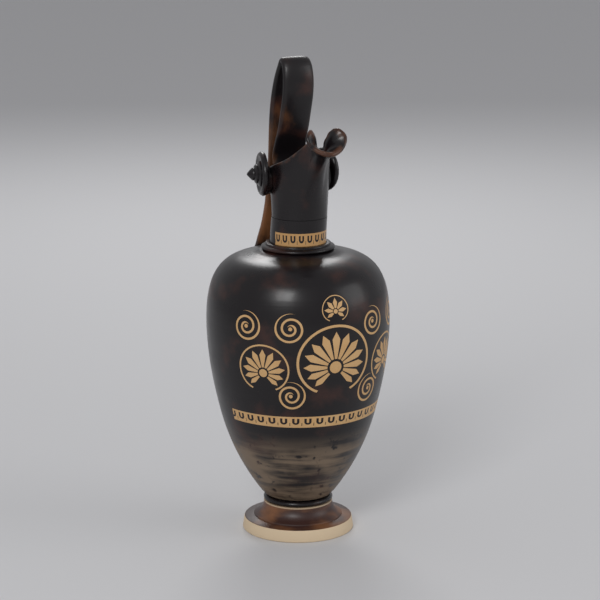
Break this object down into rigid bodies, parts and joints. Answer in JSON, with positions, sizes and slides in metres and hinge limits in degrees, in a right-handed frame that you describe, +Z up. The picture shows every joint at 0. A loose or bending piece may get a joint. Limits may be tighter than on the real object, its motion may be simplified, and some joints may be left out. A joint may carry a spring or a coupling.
{
  "type": "beaked oinochoe",
  "caption": "Greek or South Italian wine jug in black-glazed clay: flaring foot, swelling body, narrow neck, pinched beak mouth, high-swung strap handle and bossed discs beside the rim.",
  "frame": {"origin": "centre of the foot's resting ring, on the surface the jug stands on", "axes": "+Z up the axis of the wheel, -Y towards the beak, +Y towards the handle, +X to the right of someone who faces the beak"},
  "size_m": [0.1296, 0.1296, 0.3367],
  "materials": {
    "black_glaze": "gloss, faintly mottled brown and purple",
    "worn_glaze": "gloss black worn through to orange-brown",
    "foot_clay": "matte, dark brown wash over buff clay"
  },
  "bodies": {
    "root": {"foot": "foot_clay", "foot_fillet": "black_glaze", "body": "black_glaze", "neck_collar": "black_glaze", "neck": "black_glaze", "mouth": "black_glaze", "handle": "worn_glaze", "rotelle_right": "black_glaze", "rotelle_left": "black_glaze", "boss_right": "black_glaze", "boss_left": "black_glaze"}
  },
  "joints": []
}
